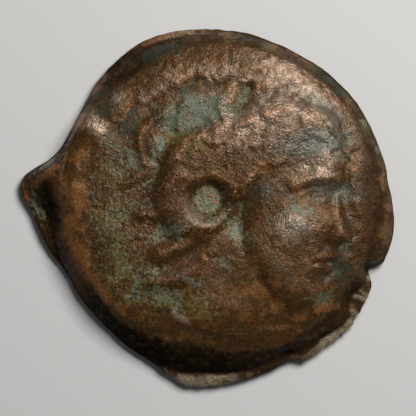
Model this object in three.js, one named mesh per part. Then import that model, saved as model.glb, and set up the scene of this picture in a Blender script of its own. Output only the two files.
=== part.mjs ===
// Ancient bronze coin: a thick cast flan with bevelled sides, struck off centre with
// a worn laureate head to the right, an eagle on the other side.
// Millimetres, +Z up out of the struck face, +Y towards the top of the head.
import * as THREE from "three";

// The flan, about its own centre, where the centring dimples are
const FLAN_RADIUS = 13.5;
const FIELD_HEIGHT = 3.6;
const LEDGE_HEIGHT = 1.05;
const LEDGE_FALL = 0.12;
const RIM = { lip: 0.12, bulgeHeight: 0.75, lowHeight: 0.35, lowInset: 0.04, rounding: 0.5 };

// The face struck by the die, off centre on the flan
const TABLE_RADIUS = 11.4;
const TABLE_CENTRE = [0.86, 0.37];
const TABLE_SAG = 0.9;
const SAG_POWER = 6;
const BORDER = { rise: 0.14, inside: 0.9, ramp: 0.033 };
const BORDER_BROADER = {
  top: { at: 95, reach: 0.1, before: 50, after: 50 },
  upperRight: { at: 48, reach: 0.22, before: 26, after: 22 },
};
const BORDER_HIGHER = { at: 60, reach: 0.22, before: 80, after: 80 };

// Raised marks of the table, which run on down the bevel
const MARKS = {
  leftKnob: { at: [-9.1, 6], half: [1.7, 0.85], turn: -52, rise: 0.34 },
  lowerRightKnob: { at: [8.1, -8.2], half: [0.9, 0.45], turn: 38, rise: 0.2 },
  scar: { at: [-2.05, -8.5], half: [1, 0.34], turn: -38, rise: 0.13 },
};

// The pair of dimples left by the tool that held the flan; the floor of the first
// lies a little higher on the face than its mouth, and its wall flares outwards
const DIMPLE = { floor: 0.95, mouth: 2, depth: 1.1, flare: 1.6, lean: 0.25 };
const BACK_DIMPLE = { floor: 0.6, mouth: 1.1, depth: 0.45, lean: 0 };

// Casting and striking flaws of the outline:
// degrees round from +X, reach in or out, and how far each fades before and after
const EDGE_FLAWS = {
  leftHollow: { at: 153, reach: -1.8, before: 29, after: 29 },
  sprueStub: { at: 173.5, reach: 1.75, before: 7.5, after: 8.5 },
  lowerLeftHollow: { at: 211, reach: -1.6, before: 19, after: 55 },
  bottomLip: { at: 265, reach: 0.92, before: 10, after: 18 },
  brokenStep: { at: 302, reach: 0.6, before: 2, after: 15 },
  chippedLip: { at: 320, reach: 0.62, before: 6, after: 26 },
  edgeCrack: { at: 338, reach: -0.9, before: 4, after: 2 },
  rightLobe: { at: 353, reach: 0.52, before: 10, after: 15 },
  topFlat: { at: 65, reach: -0.45, before: 17, after: 55 },
};

// How far the struck table spreads or falls short of round, and the least width of bevel
const SHOULDER_FLAWS = {
  upperLeftSlope: { at: 121, reach: -0.6, before: 12, after: 11 },
  leftShoulder: { at: 157, reach: 0.45, before: 12, after: 30 },
  bottomSlope: { at: 264, reach: -0.7, before: 18, after: 12 },
  lowerRightShoulder: { at: 302, reach: 0.4, before: 10, after: 12 },
  upperRightShoulder: { at: 30, reach: 0.25, before: 18, after: 18 },
};
const LEAST_BEVEL = 0.3;

// Pinched ridge that runs slantwise down the sprue stub, leaning as it nears the tip
const STUB_RIDGE = { at: 163, lean: 11, reach: 0.5, before: 5, after: 5 };

// Thin flash that stands out beyond the bevel
const THIN_LEDGE = 0.18;
const LEDGES = {
  underTheStub: { at: 183, reach: 0.95, before: 6, after: 14 },
  bottomLip: { at: 268, reach: 0.95, before: 10, after: 18 },
  lowerRightFlash: { at: 305, reach: 0.75, before: 14, after: 10 },
  brokenPiece: { at: 327, reach: 1.15, before: 7, after: 6 },
  topFlash: { at: 103, reach: 0.35, before: 12, after: 12 },
};

// The head: places and sizes below are shares of its height, v up from the chin,
// u forward from the middle; rises are in millimetres
const HEAD_HEIGHT = 17.4;
const HEAD_TILT = -9;
const HEAD_CENTRE = [2.6, 0.6];
const EDGE_BLEND = 0.06;

const FACE = {
  rise: 0.68,
  edge: 0.1,
  outline: [
    [0.395, 0.82], [0.424, 0.73], [0.43, 0.645], [0.416, 0.58], [0.45, 0.48],
    [0.492, 0.398], [0.474, 0.356], [0.436, 0.342], [0.447, 0.298], [0.431, 0.268],
    [0.439, 0.24], [0.413, 0.203], [0.424, 0.13], [0.398, 0.052], [0.325, 0.012],
    [0.235, 0.04], [0.13, 0.115], [0.05, 0.215], [0.0, 0.35], [0.05, 0.75], [0.2, 0.86],
  ],
};
const NECK = {
  rise: 0.4,
  edge: 0.09,
  outline: [
    [0.215, 0.14], [0.165, 0], [0.185, -0.14], [0.225, -0.24], [-0.14, -0.23],
    [-0.23, -0.14], [-0.19, 0.02], [-0.19, 0.2], [-0.1, 0.36], [0.08, 0.34],
  ],
};
const HAIR = {
  rise: 0.84,
  edge: 0.1,
  outline: [
    [0.405, 0.775], [0.395, 0.87], [0.3, 0.955], [0.16, 0.99], [0.02, 0.965],
    [-0.12, 0.88], [-0.24, 0.79], [-0.335, 0.7], [-0.385, 0.58], [-0.395, 0.45],
    [-0.34, 0.33], [-0.25, 0.25], [-0.13, 0.27], [-0.06, 0.36], [0.07, 0.55],
    [0.24, 0.69], [0.33, 0.735],
  ],
};

// Swellings and hollows of the face
const FACE_MOUNDS = {
  cheek: { at: [0.235, 0.41], half: [0.11, 0.085], turn: 20, rise: 0.38 },
  jaw: { at: [0.15, 0.24], half: [0.12, 0.1], turn: -35, rise: 0.2 },
  forehead: { at: [0.34, 0.715], half: [0.1, 0.07], turn: 0, rise: 0.16 },
  eyeSocket: { at: [0.315, 0.545], half: [0.075, 0.036], turn: 5, rise: -0.42 },
  noseRoot: { at: [0.385, 0.55], half: [0.035, 0.05], turn: 0, rise: -0.16 },
  eyeball: { at: [0.312, 0.54], half: [0.036, 0.022], turn: 8, rise: 0.3 },
  noseTip: { at: [0.462, 0.392], half: [0.028, 0.026], turn: 0, rise: 0.2 },
  nostrilWing: { at: [0.422, 0.378], half: [0.02, 0.022], turn: 0, rise: 0.26 },
  underLip: { at: [0.395, 0.203], half: [0.035, 0.018], turn: 0, rise: -0.18 },
  chin: { at: [0.385, 0.11], half: [0.045, 0.05], turn: 0, rise: 0.26 },
};
const FACE_RIDGES = {
  brow: {
    path: [[0.425, 0.615], [0.36, 0.628], [0.28, 0.615], [0.215, 0.575]],
    width: 0.02,
    rise: 0.24,
  },
  noseSide: { path: [[0.405, 0.56], [0.43, 0.47], [0.462, 0.4]], width: 0.02, rise: 0.26 },
  noseCrease: { path: [[0.405, 0.415], [0.392, 0.375], [0.378, 0.33]], width: 0.014, rise: -0.22 },
  upperLip: { path: [[0.44, 0.3], [0.405, 0.292], [0.36, 0.272]], width: 0.015, rise: 0.14 },
  mouthLine: { path: [[0.445, 0.27], [0.4, 0.271], [0.352, 0.262]], width: 0.012, rise: -0.26 },
  lowerLip: { path: [[0.432, 0.242], [0.4, 0.243], [0.365, 0.252]], width: 0.014, rise: 0.14 },
};

// Strands that run out from the crown, and the rolled hair round the face
const CROWN = { at: [-0.09, 0.62], strands: 17, rise: 0.045 };
const FRINGE = {
  path: [[0.385, 0.765], [0.3, 0.745], [0.2, 0.68], [0.1, 0.6], [0.02, 0.5], [-0.05, 0.39],
    [-0.14, 0.3], [-0.25, 0.27]],
  width: 0.045,
  rise: 0.24,
  curls: 9,
};

// The wreath: pairs of leaves along a stem from the knot to the brow
const WREATH = {
  stem: [[-0.4, 0.56], [-0.335, 0.68], [-0.2, 0.79], [-0.03, 0.865], [0.14, 0.885],
    [0.29, 0.85], [0.38, 0.8]],
  pairs: 6,
  leaf: { length: 0.16, width: 0.05, rise: 0.17, outward: 48, inward: -24 },
};

// Ribbon and long locks that leave the back of the head, tapering to their ends
const LOCK_TAPER = 0.25;
const LOCKS = {
  ribbonLoop: {
    path: [[-0.37, 0.8], [-0.44, 0.74], [-0.47, 0.67], [-0.43, 0.56]],
    width: 0.026,
    rise: 0.36,
  },
  ribbonEnd: { path: [[-0.4, 0.56], [-0.46, 0.5], [-0.51, 0.46]], width: 0.024, rise: 0.24 },
  napeLock: { path: [[-0.2, 0.4], [-0.33, 0.36], [-0.42, 0.35]], width: 0.038, rise: 0.42 },
  middleLock: { path: [[-0.1, 0.36], [-0.21, 0.26], [-0.31, 0.19]], width: 0.052, rise: 0.52 },
  neckLock: { path: [[-0.08, 0.24], [-0.19, 0.12], [-0.33, 0.07]], width: 0.048, rise: 0.42 },
};

// The eagle on the underside, worn down to the level of the flan:
// tapered limbs as shares of its height, seen through from above
const EAGLE_HEIGHT = 13.5;
const EAGLE_CENTRE = [0.2, 0.1];
const EAGLE_TAPER = 0.3;
const BACK_DIE_RADIUS = 9.6;
const BACK_DIE_SLOPE = 1;
const BACK_RECESS = 0.4;
const BACK_FLAT_RADIUS = 9.9;
const EAGLE = {
  body: { path: [[-0.1, 0.34], [0.07, 0.62]], width: 0.12, rise: 0.42 },
  neck: { path: [[0.08, 0.62], [0.15, 0.84]], width: 0.06, rise: 0.4 },
  beak: { path: [[0.16, 0.86], [0.27, 0.83]], width: 0.032, rise: 0.32 },
  wing: { path: [[0.02, 0.64], [-0.28, 0.34]], width: 0.08, rise: 0.42 },
  tail: { path: [[-0.14, 0.32], [-0.3, 0.14]], width: 0.06, rise: 0.36 },
  nearLeg: { path: [[0.0, 0.36], [0.06, 0.14]], width: 0.045, rise: 0.34 },
  farLeg: { path: [[-0.07, 0.32], [-0.07, 0.13]], width: 0.038, rise: 0.3 },
  thunderbolt: { path: [[-0.34, 0.07], [0.34, 0.07]], width: 0.04, rise: 0.32 },
};

// How finely the surfaces are divided
const FACE_RINGS = 28;
const BACK_RINGS = 18;
const DIMPLE_SIDES = 24;
const BEVEL_STEPS = [0.18, 0.42, 0.7, 1];

const degrees = (radians) => THREE.MathUtils.euclideanModulo(radians * THREE.MathUtils.RAD2DEG, 360);
const radians = (turn) => turn * THREE.MathUtils.DEG2RAD;
const clamp01 = (value) => THREE.MathUtils.clamp(value, 0, 1);
const smooth = (from, to, value) => {
  const t = clamp01((value - from) / (to - from));
  return t * t * (3 - 2 * t);
};

// 1 at the flaw's own angle, fading to either side
function fade(turn, { at, before, after }) {
  const away = THREE.MathUtils.euclideanModulo(turn - at + 180, 360) - 180;
  return Math.exp(-((away / (away < 0 ? before : after)) ** 2));
}

function reaches(turn, flaws) {
  return Object.values(flaws).reduce((sum, flaw) => sum + flaw.reach * fade(turn, flaw), 0);
}

const edgeRadius = (turn) => FLAN_RADIUS + reaches(turn, EDGE_FLAWS);
const bevelFoot = (turn) => edgeRadius(turn) - THIN_LEDGE - reaches(turn, LEDGES);

// The raised border of the table stands higher and reaches further in at the upper right
const borderRise = (turn) => BORDER.rise + reaches(turn, [BORDER_HIGHER]);
const borderStart = (turn) => BORDER.inside - reaches(turn, BORDER_BROADER);

// Distance from the flan's centre to the edge of the struck table
function shoulderRadius(turn) {
  const [cx, cy] = TABLE_CENTRE;
  const along = cx * Math.cos(radians(turn)) + cy * Math.sin(radians(turn));
  const across = cx * Math.sin(radians(turn)) - cy * Math.cos(radians(turn));
  const roundTable = along + Math.sqrt(TABLE_RADIUS ** 2 - across ** 2);
  return Math.min(roundTable + reaches(turn, SHOULDER_FLAWS), bevelFoot(turn) - LEAST_BEVEL);
}

// Points along a smooth curve, open or closed
function curve(points, closed = false) {
  const through = points.map(([u, v]) => new THREE.Vector3(u, v, 0));
  const line = new THREE.CatmullRomCurve3(through, closed, "catmullrom", 0.5);
  return line.getPoints(points.length * 6).map(({ x, y }) => [x, y]);
}

// Distance to a line of points, and how far along it the nearest place is
function nearest(u, v, line) {
  let found = { distance: Infinity, along: 0, side: 1 };
  for (let i = 1; i < line.length; i += 1) {
    const [au, av] = line[i - 1];
    const [du, dv] = [line[i][0] - au, line[i][1] - av];
    const t = clamp01(((u - au) * du + (v - av) * dv) / (du * du + dv * dv));
    const distance = Math.hypot(u - au - t * du, v - av - t * dv);
    if (distance < found.distance) {
      const side = Math.sign(du * (v - av) - dv * (u - au));
      found = { distance, along: (i - 1 + t) / (line.length - 1), side };
    }
  }
  return found;
}

// Depth inside a closed line, negative outside it
function depthInside(u, v, line) {
  let inside = false;
  for (let i = 1; i < line.length; i += 1) {
    const [au, av] = line[i - 1];
    const [bu, bv] = line[i];
    if (av > v !== bv > v && u < au + ((v - av) / (bv - av)) * (bu - au)) inside = !inside;
  }
  return nearest(u, v, line).distance * (inside ? 1 : -1);
}

// Height of a worn form that rises from its edge and levels off
const swell = (depth, width) => Math.sin((clamp01(depth / width) * Math.PI) / 2);

// The higher of two forms, with a small blend where they meet
function blendedMax(a, b, blend) {
  const share = clamp01(0.5 + (0.5 * (a - b)) / blend);
  return b + (a - b) * share + blend * share * (1 - share);
}

function mound(u, v, { at, half, turn, rise }) {
  const [du, dv] = [u - at[0], v - at[1]];
  const [c, s] = [Math.cos(radians(turn)), Math.sin(radians(turn))];
  return rise * Math.exp(-(((du * c + dv * s) / half[0]) ** 2) - ((dv * c - du * s) / half[1]) ** 2);
}

const lines = (forms) => Object.values(forms).map((form) => ({ ...form, line: curve(form.path) }));
const faceLine = curve(FACE.outline, true);
const neckLine = curve(NECK.outline, true);
const hairLine = curve(HAIR.outline, true);
const fringeLine = curve(FRINGE.path);
const faceRidges = lines(FACE_RIDGES);
const lockLines = lines(LOCKS);
const eagleLines = lines(EAGLE);

function faceForm(u, v) {
  const depth = depthInside(u, v, faceLine);
  let height = FACE.rise * swell(depth, FACE.edge);
  for (const form of Object.values(FACE_MOUNDS)) height += mound(u, v, form);
  for (const { line, width, rise } of faceRidges) {
    height += rise * Math.exp(-((nearest(u, v, line).distance / width) ** 2));
  }
  return height * smooth(0, 0.012, depth);
}

function hairForm(u, v) {
  const depth = depthInside(u, v, hairLine);
  const [du, dv] = [u - CROWN.at[0], v - CROWN.at[1]];
  const out = Math.hypot(du, dv);
  const wave = Math.atan2(dv, du) * CROWN.strands + 0.9 * Math.sin(out * 42) + 5 * out;
  const strands = CROWN.rise * Math.cos(wave) * smooth(0.03, 0.12, out) * smooth(0, 0.02, depth);
  const { distance, along, side } = nearest(u, v, fringeLine);
  const curl = Math.cos(along * 2 * Math.PI * FRINGE.curls + side * distance * 55);
  const fringe = FRINGE.rise * Math.exp(-((distance / FRINGE.width) ** 2)) * (0.75 + 0.25 * curl);
  return HAIR.rise * swell(depth, HAIR.edge) + strands + fringe * smooth(-0.02, 0, depth);
}

// The leaves of the wreath, each from its place on the stem
const leaves = [];
const stemCurve = new THREE.CatmullRomCurve3(
  WREATH.stem.map(([u, v]) => new THREE.Vector3(u, v, 0)), false, "catmullrom", 0.5);
for (let pair = 0; pair < WREATH.pairs; pair += 1) {
  const share = (pair + 0.3) / WREATH.pairs;
  const at = stemCurve.getPoint(share);
  const ahead = stemCurve.getTangent(share);
  const heading = degrees(Math.atan2(ahead.y, ahead.x));
  for (const turn of [WREATH.leaf.outward, WREATH.leaf.inward]) {
    leaves.push({ at: [at.x, at.y], turn: heading + turn });
  }
}

function leafForm(u, v, { at, turn }) {
  const [c, s] = [Math.cos(radians(turn)), Math.sin(radians(turn))];
  const along = ((u - at[0]) * c + (v - at[1]) * s) / WREATH.leaf.length;
  const across = ((v - at[1]) * c - (u - at[0]) * s) / WREATH.leaf.width;
  const half = Math.sqrt(Math.max(0, along * (1 - along))) * 2 * (1 - 0.35 * along);
  return half > 0.02 ? Math.sqrt(Math.max(0, 1 - (across / half) ** 2)) : 0;
}

// Rounded limb that narrows towards its end
function limb(u, v, { line, width, rise }, taper) {
  const { distance, along } = nearest(u, v, line);
  return rise * Math.exp(-((distance / (width * (1 - taper * along))) ** 2));
}

function headRelief(x, y) {
  const [c, s] = [Math.cos(radians(HEAD_TILT)), Math.sin(radians(HEAD_TILT))];
  const [dx, dy] = [x - HEAD_CENTRE[0], y - HEAD_CENTRE[1]];
  const u = (dx * c + dy * s) / HEAD_HEIGHT;
  const v = (dy * c - dx * s) / HEAD_HEIGHT + 0.5;
  const neck = NECK.rise * swell(depthInside(u, v, neckLine), NECK.edge);
  let height = blendedMax(faceForm(u, v), neck, EDGE_BLEND);
  height = blendedMax(height, hairForm(u, v), EDGE_BLEND);
  const leafShape = Math.max(...leaves.map((leaf) => leafForm(u, v, leaf)));
  const onHair = WREATH.leaf.rise * Math.min(1, height / HAIR.rise);
  height = blendedMax(height + onHair * leafShape, 2 * WREATH.leaf.rise * leafShape, EDGE_BLEND);
  for (const lock of lockLines) {
    height = blendedMax(height, limb(u, v, lock, LOCK_TAPER), EDGE_BLEND);
  }
  return height;
}

const markRise = (x, y) => Object.values(MARKS).reduce((sum, form) => sum + mound(x, y, form), 0);

// 0 at the dimple's mouth to 1 on its floor
function dimpleShare(x, y) {
  const toMouth = Math.max(0, DIMPLE.mouth - Math.hypot(x, y));
  const toFloor = Math.max(0, Math.hypot(x, y - DIMPLE.lean) - DIMPLE.floor);
  return toMouth / (toMouth + toFloor);
}

// Height of the struck table, with its raised border, the head and the dimple
function tableHeight(x, y) {
  const turn = degrees(Math.atan2(y, x));
  const out = Math.hypot(x, y) / shoulderRadius(turn);
  const start = borderStart(turn);
  const roll = borderRise(turn) * smooth(start - BORDER.ramp, start + BORDER.ramp, out);
  const struck = 1 - smooth(0.9, 1, out);
  const relief = blendedMax(headRelief(x, y) * struck, roll, 2 * EDGE_BLEND);
  const field = FIELD_HEIGHT - TABLE_SAG * Math.min(out, 1) ** SAG_POWER;
  const pressed = dimpleShare(x, y) ** DIMPLE.flare;
  const dimpleFloor = FIELD_HEIGHT + HAIR.rise - DIMPLE.depth;
  return THREE.MathUtils.lerp(field + relief + markRise(x, y), dimpleFloor, pressed);
}

// Height of the underside above the table the coin lies on
function backHeight(x, y) {
  const out = Math.hypot(x, y);
  const recess = BACK_RECESS * smooth(BACK_DIE_RADIUS, BACK_DIE_RADIUS - BACK_DIE_SLOPE, out);
  const u = (x - EAGLE_CENTRE[0]) / EAGLE_HEIGHT;
  const v = (y - EAGLE_CENTRE[1]) / EAGLE_HEIGHT + 0.5;
  const relief = eagleLines.reduce((high, part) => Math.max(high, limb(u, v, part, EAGLE_TAPER)), 0);
  const dimple = BACK_DIMPLE.depth * smooth(BACK_DIMPLE.mouth, BACK_DIMPLE.floor, out);
  return Math.max(0, recess - relief) + dimple;
}

const positions = [];
const triangles = [];

// One ring of points round the flan's centre; counts are multiples of six, one is a centre
function ring(count, radiusAt, heightAt) {
  const points = [];
  for (let i = 0; i < count; i += 1) {
    const turn = (360 * i) / count;
    const radius = radiusAt(turn);
    const [x, y] = [radius * Math.cos(radians(turn)), radius * Math.sin(radians(turn))];
    positions.push(x, y, heightAt(x, y, turn));
    points.push(positions.length / 3 - 1);
  }
  return points;
}

// Triangles between an inner and an outer ring, facing up, or down for the underside
function stitch(inner, outer, faceUp) {
  const add = (a, b, c) => triangles.push(...(faceUp ? [a, b, c] : [a, c, b]));
  let [i, o] = [0, 0];
  while (i < inner.length || o < outer.length) {
    const stepOuter = inner.length === 1 || (o + 1) / outer.length <= (i + 1) / inner.length;
    if (stepOuter && o < outer.length) {
      add(inner[i % inner.length], outer[o], outer[(o + 1) % outer.length]);
      o += 1;
    } else if (inner.length > 1) {
      add(inner[i], outer[o % outer.length], inner[(i + 1) % inner.length]);
      i += 1;
    } else {
      break;
    }
  }
}

// A disc of rings: first those of the dimple, then wider ones out to the given edge
function disc(rings, { floor, mouth, lean }, edgeAt, heightAt, faceUp) {
  const first = DIMPLE_SIDES / 6;
  const floorAt = (turn) =>
    lean * Math.sin(radians(turn)) + Math.sqrt(floor ** 2 - (lean * Math.cos(radians(turn))) ** 2);
  const bands = [0, 0.5, 1].map((share) => [
    DIMPLE_SIDES,
    (turn) => THREE.MathUtils.lerp(floorAt(turn), mouth, share),
  ]);
  for (let i = first + 1; i <= rings; i += 1) {
    const share = (i - first) / (rings - first);
    bands.push([6 * i, (turn) => THREE.MathUtils.lerp(mouth, edgeAt(turn), share)]);
  }
  let inner = ring(1, () => 0, heightAt);
  for (const [count, radiusAt] of bands) {
    const outer = ring(count, radiusAt, heightAt);
    stitch(inner, outer, faceUp);
    inner = outer;
  }
  return inner;
}

// The side falls gently from the shoulder, then more steeply to the ledge
function bevelHeight(share, turn) {
  const shoulder = FIELD_HEIGHT - TABLE_SAG + borderRise(turn);
  const ridgeHere = { ...STUB_RIDGE, at: STUB_RIDGE.at + STUB_RIDGE.lean * share };
  const ridge = reaches(turn, [ridgeHere]) * Math.sin(Math.PI * share);
  return THREE.MathUtils.lerp(shoulder, LEDGE_HEIGHT, 0.35 * share + 0.65 * share ** 2) + ridge;
}

// From the struck table down the bevel, across the ledge and round the rim
let band = disc(FACE_RINGS, DIMPLE, shoulderRadius, tableHeight, true);
const rimProfile = [
  [RIM.lip, LEDGE_HEIGHT - LEDGE_FALL],
  [0, RIM.bulgeHeight],
  [RIM.lowInset, RIM.lowHeight],
  [RIM.rounding, 0],
];
const bands = [
  ...BEVEL_STEPS.map((share) => [
    (turn) => THREE.MathUtils.lerp(shoulderRadius(turn), bevelFoot(turn), share),
    (x, y, turn) => bevelHeight(share, turn) + (1 - share) * markRise(x, y),
  ]),
  ...rimProfile.map(([inset, height]) => [(turn) => edgeRadius(turn) - inset, () => height]),
];
for (const [radiusAt, heightAt] of bands) {
  const next = ring(6 * FACE_RINGS, radiusAt, heightAt);
  stitch(band, next, true);
  band = next;
}

// The underside, joined to the foot of the rim across a flat ring
const backEdge = disc(BACK_RINGS, BACK_DIMPLE, () => BACK_FLAT_RADIUS, backHeight, false);
stitch(backEdge, band, false);

const geometry = new THREE.BufferGeometry();
geometry.setAttribute("position", new THREE.Float32BufferAttribute(positions, 3));
geometry.setIndex(triangles);
geometry.computeBoundingBox();
const middle = geometry.boundingBox.getCenter(new THREE.Vector3());
geometry.translate(-middle.x, -middle.y, -geometry.boundingBox.min.z);
geometry.computeVertexNormals();

const coin = new THREE.Mesh(
  geometry,
  new THREE.MeshStandardMaterial({ color: 0x5e4028, metalness: 0.85, roughness: 0.5 }),
);
coin.name = "coin";

const part = new THREE.Group();
part.name = "ancient_bronze_coin";
part.add(coin);

export default part;
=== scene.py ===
"""Ancient bronze coin, dressed: fine relief, wear, patina, floor, light and camera."""

import math

import bpy
import numpy as np
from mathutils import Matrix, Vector


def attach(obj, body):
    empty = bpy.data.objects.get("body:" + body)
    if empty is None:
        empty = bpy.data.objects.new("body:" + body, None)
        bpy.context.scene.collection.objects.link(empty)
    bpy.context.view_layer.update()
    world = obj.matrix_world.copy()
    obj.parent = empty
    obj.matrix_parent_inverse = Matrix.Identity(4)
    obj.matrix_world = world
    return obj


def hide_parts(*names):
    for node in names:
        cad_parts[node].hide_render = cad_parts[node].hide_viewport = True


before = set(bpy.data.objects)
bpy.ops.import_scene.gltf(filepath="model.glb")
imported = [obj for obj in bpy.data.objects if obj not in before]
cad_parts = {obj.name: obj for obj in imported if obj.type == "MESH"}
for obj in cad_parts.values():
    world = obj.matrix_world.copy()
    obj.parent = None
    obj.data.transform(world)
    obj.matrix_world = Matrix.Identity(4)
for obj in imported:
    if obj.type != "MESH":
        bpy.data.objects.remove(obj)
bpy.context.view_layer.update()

MM = 0.001

# The flan, about its own centre, where the centring dimples are
FLAN_RADIUS = 13.5
FIELD_HEIGHT = 3.6
LEDGE_HEIGHT = 1.05
LEDGE_FALL = 0.12
RIM = dict(lip=0.12, bulge_height=0.75, low_height=0.35, low_inset=0.04, rounding=0.5)
TABLE_RADIUS = 11.4
TABLE_CENTRE = (0.86, 0.37)
TABLE_SAG = 0.9
SAG_POWER = 6
BORDER = dict(rise=0.14, inside=0.9, ramp=0.033)
BORDER_BROADER = {"top": (95, 0.1, 50, 50), "upper right": (48, 0.22, 26, 22)}
BORDER_HIGHER = (60, 0.22, 80, 80)
STUB_RIDGE = dict(at=163, lean=11, reach=0.5, fades=5)
# Raised marks of the table, which run on down the bevel: place, half sizes, turn, rise
SCAR = (-2.05, -8.5, 1.0, 0.34, -38, 0.13)
MARKS = [(-9.1, 6.0, 1.7, 0.85, -52, 0.34), (8.1, -8.2, 0.9, 0.45, 38, 0.2), SCAR]
DIMPLE = dict(floor=0.95, mouth=2.0, depth=1.1, flare=1.6)
DIMPLE_LEAN = 0.25
BACK_DIMPLE = dict(floor=0.6, mouth=1.1, depth=0.45)
# How much of the bevel's fall is even; the rest comes ever steeper towards its foot
EVEN_FALL = 0.35

# Casting and striking flaws of the outline: degrees, reach, fade before and after
EDGE_FLAWS = {
    "left hollow": (153, -1.8, 29, 29),
    "sprue stub": (173.5, 1.75, 7.5, 8.5),
    "lower left hollow": (211, -1.6, 19, 55),
    "bottom lip": (265, 0.92, 10, 18),
    "broken step": (302, 0.6, 2, 15),
    "chipped lip": (320, 0.62, 6, 26),
    "edge crack": (338, -0.9, 4, 2),
    "right lobe": (353, 0.52, 10, 15),
    "top flat": (65, -0.45, 17, 55),
}
SHOULDER_FLAWS = {
    "upper left slope": (121, -0.6, 12, 11),
    "left shoulder": (157, 0.45, 12, 30),
    "bottom slope": (264, -0.7, 18, 12),
    "lower right shoulder": (302, 0.4, 10, 12),
    "upper right shoulder": (30, 0.25, 18, 18),
}
LEAST_BEVEL = 0.3
TORN_EDGES = [(317, 1, 16, 16), (268, 0.5, 10, 14)]
THIN_LEDGE = 0.18
LEDGES = {
    "under the stub": (183, 0.95, 6, 14),
    "bottom lip": (268, 0.95, 10, 18),
    "lower right flash": (305, 0.75, 14, 10),
    "broken piece": (327, 1.15, 7, 6),
    "top flash": (103, 0.35, 12, 12),
}

# The head, in shares of its height; rises in millimetres
HEAD_HEIGHT = 17.4
HEAD_TILT = -9
HEAD_CENTRE = (2.6, 0.6)
EDGE_BLEND = 0.06
FACE = dict(rise=0.68, edge=0.1, outline=[
    (0.395, 0.82), (0.424, 0.73), (0.43, 0.645), (0.416, 0.58), (0.45, 0.48), (0.492, 0.398),
    (0.474, 0.356), (0.436, 0.342), (0.447, 0.298), (0.431, 0.268), (0.439, 0.24), (0.413, 0.203),
    (0.424, 0.13), (0.398, 0.052), (0.325, 0.012), (0.235, 0.04), (0.13, 0.115), (0.05, 0.215),
    (0.0, 0.35), (0.05, 0.75), (0.2, 0.86)])
NECK = dict(rise=0.4, edge=0.09, outline=[
    (0.215, 0.14), (0.165, 0), (0.185, -0.14), (0.225, -0.24), (-0.14, -0.23), (-0.23, -0.14),
    (-0.19, 0.02), (-0.19, 0.2), (-0.1, 0.36), (0.08, 0.34)])
HAIR = dict(rise=0.84, edge=0.1, outline=[
    (0.405, 0.775), (0.395, 0.87), (0.3, 0.955), (0.16, 0.99), (0.02, 0.965), (-0.12, 0.88),
    (-0.24, 0.79), (-0.335, 0.7), (-0.385, 0.58), (-0.395, 0.45), (-0.34, 0.33), (-0.25, 0.25),
    (-0.13, 0.27), (-0.06, 0.36), (0.07, 0.55), (0.24, 0.69), (0.33, 0.735)])
# place, half sizes, turn, rise
FACE_MOUNDS = {
    "cheek": (0.235, 0.41, 0.11, 0.085, 20, 0.38),
    "jaw": (0.15, 0.24, 0.12, 0.1, -35, 0.2),
    "forehead": (0.34, 0.715, 0.1, 0.07, 0, 0.16),
    "eye socket": (0.315, 0.545, 0.075, 0.036, 5, -0.42),
    "nose root": (0.385, 0.55, 0.035, 0.05, 0, -0.16),
    "eyeball": (0.312, 0.54, 0.036, 0.022, 8, 0.3),
    "nose tip": (0.462, 0.392, 0.028, 0.026, 0, 0.2),
    "nostril wing": (0.422, 0.378, 0.02, 0.022, 0, 0.26),
    "under the lip": (0.395, 0.203, 0.035, 0.018, 0, -0.18),
    "chin": (0.385, 0.11, 0.045, 0.05, 0, 0.26),
}
# width, rise, path
FACE_RIDGES = {
    "brow": (0.02, 0.24, [(0.425, 0.615), (0.36, 0.628), (0.28, 0.615), (0.215, 0.575)]),
    "upper lid": (0.009, 0.15, [(0.363, 0.535), (0.325, 0.566), (0.28, 0.56), (0.24, 0.535)]),
    "lower lid": (0.008, 0.1, [(0.358, 0.53), (0.32, 0.513), (0.275, 0.52), (0.245, 0.534)]),
    "nose side": (0.02, 0.26, [(0.405, 0.56), (0.43, 0.47), (0.462, 0.4)]),
    "nose crease": (0.013, -0.22, [(0.405, 0.415), (0.392, 0.375), (0.378, 0.33)]),
    "upper lip": (0.014, 0.14, [(0.44, 0.3), (0.405, 0.292), (0.36, 0.272)]),
    "mouth line": (0.009, -0.3, [(0.445, 0.27), (0.4, 0.271), (0.352, 0.262)]),
    "lower lip": (0.013, 0.14, [(0.432, 0.242), (0.4, 0.243), (0.365, 0.252)]),
}
FACE_EDGE_FADE = 0.012
CROWN = dict(at=(-0.09, 0.62), strands=17, rise=0.045, sway=0.9, sways=42, twist=5)
FRINGE = dict(width=0.045, rise=0.24, curls=9, curl_share=0.25, curl_slant=55, path=[
    (0.385, 0.765), (0.3, 0.745), (0.2, 0.68), (0.1, 0.6), (0.02, 0.5), (-0.05, 0.39),
    (-0.14, 0.3), (-0.25, 0.27)])
WREATH = dict(pairs=6, length=0.16, width=0.05, rise=0.17, turns=(48, -24), stem=[
    (-0.4, 0.56), (-0.335, 0.68), (-0.2, 0.79), (-0.03, 0.865), (0.14, 0.885), (0.29, 0.85),
    (0.38, 0.8)])
LOCK_TAPER = 0.25
LOCKS = {
    "ribbon loop": (0.026, 0.36, [(-0.37, 0.8), (-0.44, 0.74), (-0.47, 0.67), (-0.43, 0.56)]),
    "ribbon end": (0.024, 0.24, [(-0.4, 0.56), (-0.46, 0.5), (-0.51, 0.46)]),
    "nape lock": (0.038, 0.42, [(-0.2, 0.4), (-0.33, 0.36), (-0.42, 0.35)]),
    "middle lock": (0.052, 0.52, [(-0.1, 0.36), (-0.21, 0.26), (-0.31, 0.19)]),
    "neck lock": (0.048, 0.42, [(-0.08, 0.24), (-0.19, 0.12), (-0.33, 0.07)]),
}

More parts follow.
